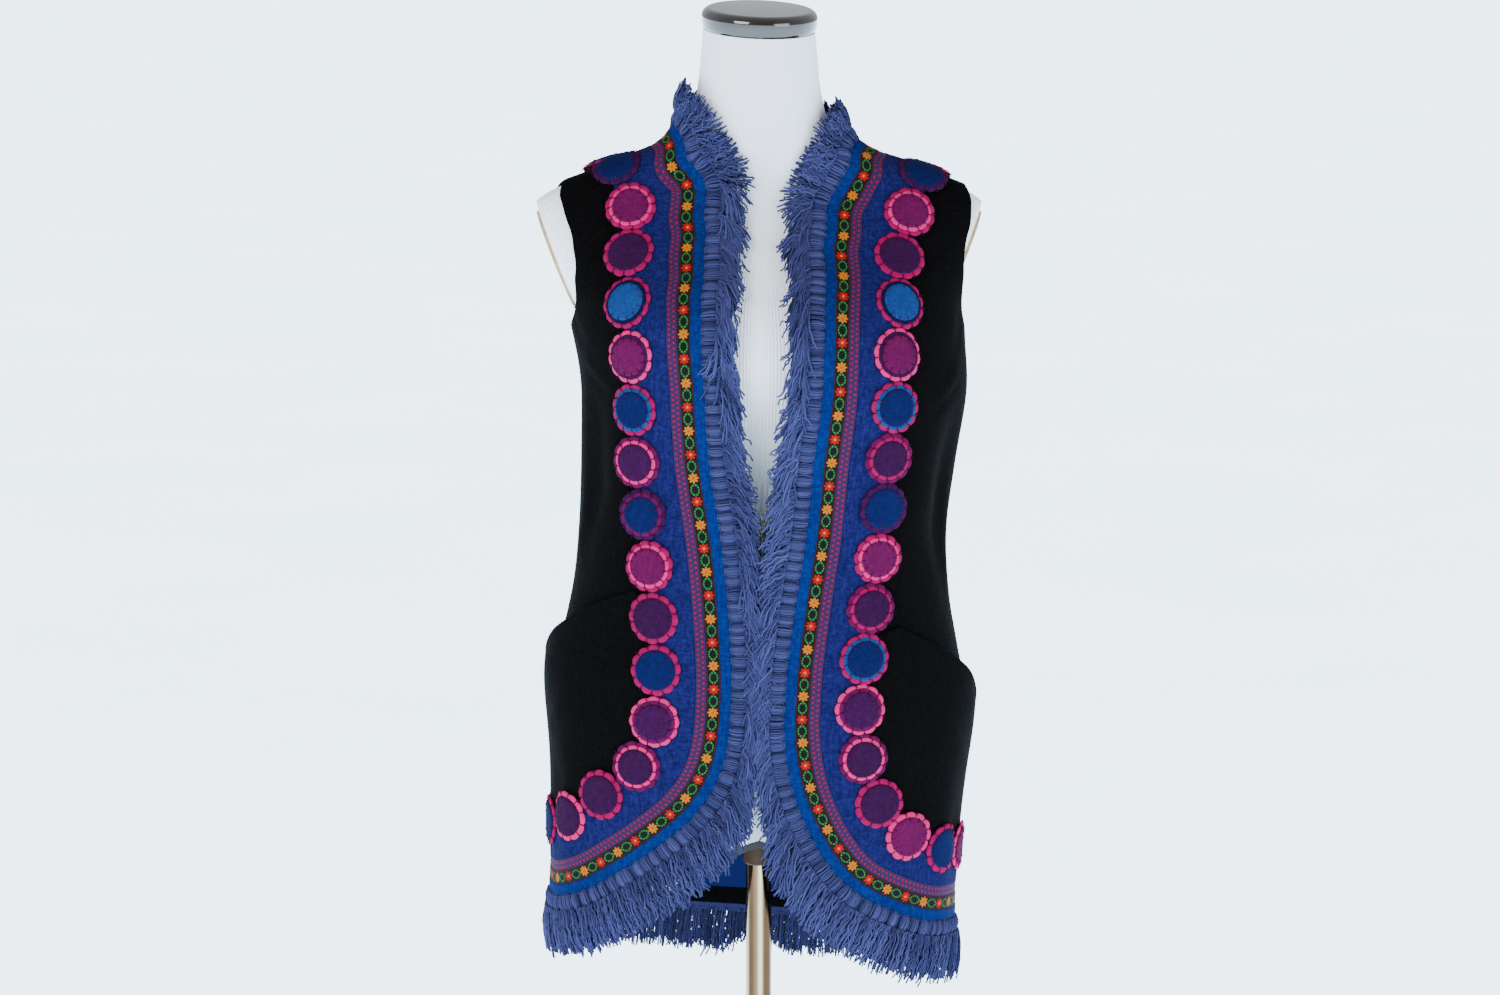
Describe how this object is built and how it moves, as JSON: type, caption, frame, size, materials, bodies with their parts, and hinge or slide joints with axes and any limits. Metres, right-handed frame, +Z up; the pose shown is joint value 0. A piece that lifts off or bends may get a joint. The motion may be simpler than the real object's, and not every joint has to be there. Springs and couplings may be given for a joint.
{
  "type": "felt vest on a limbless dress form",
  "caption": "Black felt folk vest with felt discs, woven ribbons and a yarn fringe along its whole edge, open over a white limbless dress form on a round stand.",
  "frame": {"origin": "middle of the base's underside, on the floor", "axes": "+Z up, the vest's front faces -Y, +X towards the wearer's left"},
  "size_m": [0.4218, 0.344, 1.5215],
  "materials": {
    "jersey": "matt knitted cover",
    "black_gloss": "polished",
    "arm_wood": "satin",
    "black_tape": "matt woven tape",
    "steel": "polished",
    "brown_fitting": "satin",
    "black_felt": "matt felt",
    "blue_felt": "matt felt",
    "violet_ribbon": "woven and stitched",
    "flower_ribbon": "jacquard weave",
    "bright_blue": "matt felt",
    "fringe_yarn": "matt cotton yarn",
    "pink_felt": "matt felt",
    "blue_lining": "plain woven lining"
  },
  "bodies": {
    "root": {"torso": "jersey", "neck_cap": "black_gloss", "right_arm_plate": "arm_wood", "left_arm_plate": "arm_wood", "arch_edge": "black_tape", "pole": "steel", "base": "steel", "base_collar": "steel", "pole_socket": "brown_fitting", "right_front": "black_felt", "left_front": "black_felt", "back": "black_felt", "right_pocket": "black_felt", "left_pocket": "black_felt", "blue_band_right_front": "blue_felt", "violet_ribbon_right_front": "violet_ribbon", "flower_ribbon_right_front": "flower_ribbon", "bright_strip_right_front": "bright_blue", "fringe_right_front": "fringe_yarn", "discs_right_front": "pink_felt", "blue_band_back_hem": "blue_felt", "violet_ribbon_back_hem": "violet_ribbon", "flower_ribbon_back_hem": "flower_ribbon", "bright_strip_back_hem": "bright_blue", "fringe_back_hem": "fringe_yarn", "discs_back_hem": "pink_felt", "blue_band_left_front": "blue_felt", "violet_ribbon_left_front": "violet_ribbon", "flower_ribbon_left_front": "flower_ribbon", "bright_strip_left_front": "bright_blue", "fringe_left_front": "fringe_yarn", "discs_left_front": "pink_felt", "blue_band_back_neck": "blue_felt", "violet_ribbon_back_neck": "violet_ribbon", "flower_ribbon_back_neck": "flower_ribbon", "bright_strip_back_neck": "bright_blue", "fringe_back_neck": "fringe_yarn", "discs_back_neck": "pink_felt", "back_lining": "blue_lining", "back_hem_facing": "black_felt"}
  },
  "joints": []
}
